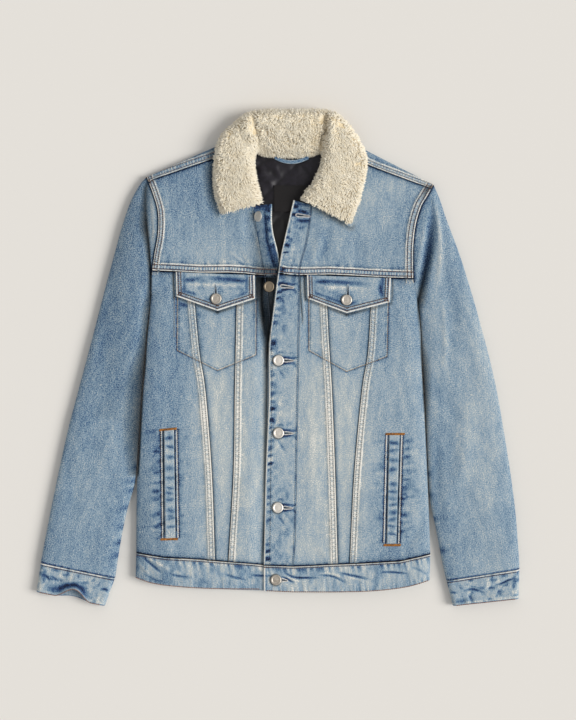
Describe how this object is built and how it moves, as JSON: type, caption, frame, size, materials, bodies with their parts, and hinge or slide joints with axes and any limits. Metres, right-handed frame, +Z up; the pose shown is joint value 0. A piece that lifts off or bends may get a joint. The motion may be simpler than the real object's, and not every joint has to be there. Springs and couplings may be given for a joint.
{
  "type": "denim trucker jacket with sherpa collar",
  "caption": "Denim trucker jacket with a cream sherpa collar and long sleeves, buttoned below an open neck and laid flat on its back.",
  "frame": {"origin": "on the surface the jacket lies on, under the middle of its overall box", "axes": "+Z up from the surface, +Y towards the collar, +X towards the wearer's left sleeve"},
  "size_m": [0.754, 0.775, 0.037],
  "materials": {
    "denim": "washed cotton denim, matte",
    "sherpa": "cream curly pile",
    "lining": "quilted satin-weave lining, low sheen",
    "label": "bare woven patch",
    "button_metal": "worn nickel"
  },
  "bodies": {
    "root": {"back_yoke": "denim", "back_panel": "denim", "waistband_back": "denim", "front_yoke_r": "denim", "front_yoke_l": "denim", "front_side_r": "denim", "front_side_l": "denim", "front_mid_r": "denim", "front_mid_l": "denim", "front_centre_r": "denim", "front_centre_l": "denim", "placket": "denim", "button_band": "denim", "waistband_front_r": "denim", "waistband_front_l": "denim", "flap_r": "denim", "flap_l": "denim", "welt_r": "denim", "welt_l": "denim", "sleeve_top_r": "denim", "sleeve_top_l": "denim", "sleeve_under_r": "denim", "sleeve_under_l": "denim", "cuff_r": "denim", "cuff_l": "denim", "collar": "sherpa", "lining_back": "lining", "neck_label": "label", "hanger_loop": "denim", "button_1": "button_metal", "button_2": "button_metal", "button_3": "button_metal", "button_4": "button_metal", "button_5": "button_metal", "button_6": "button_metal", "flap_button_r": "button_metal", "flap_button_l": "button_metal"}
  },
  "joints": []
}
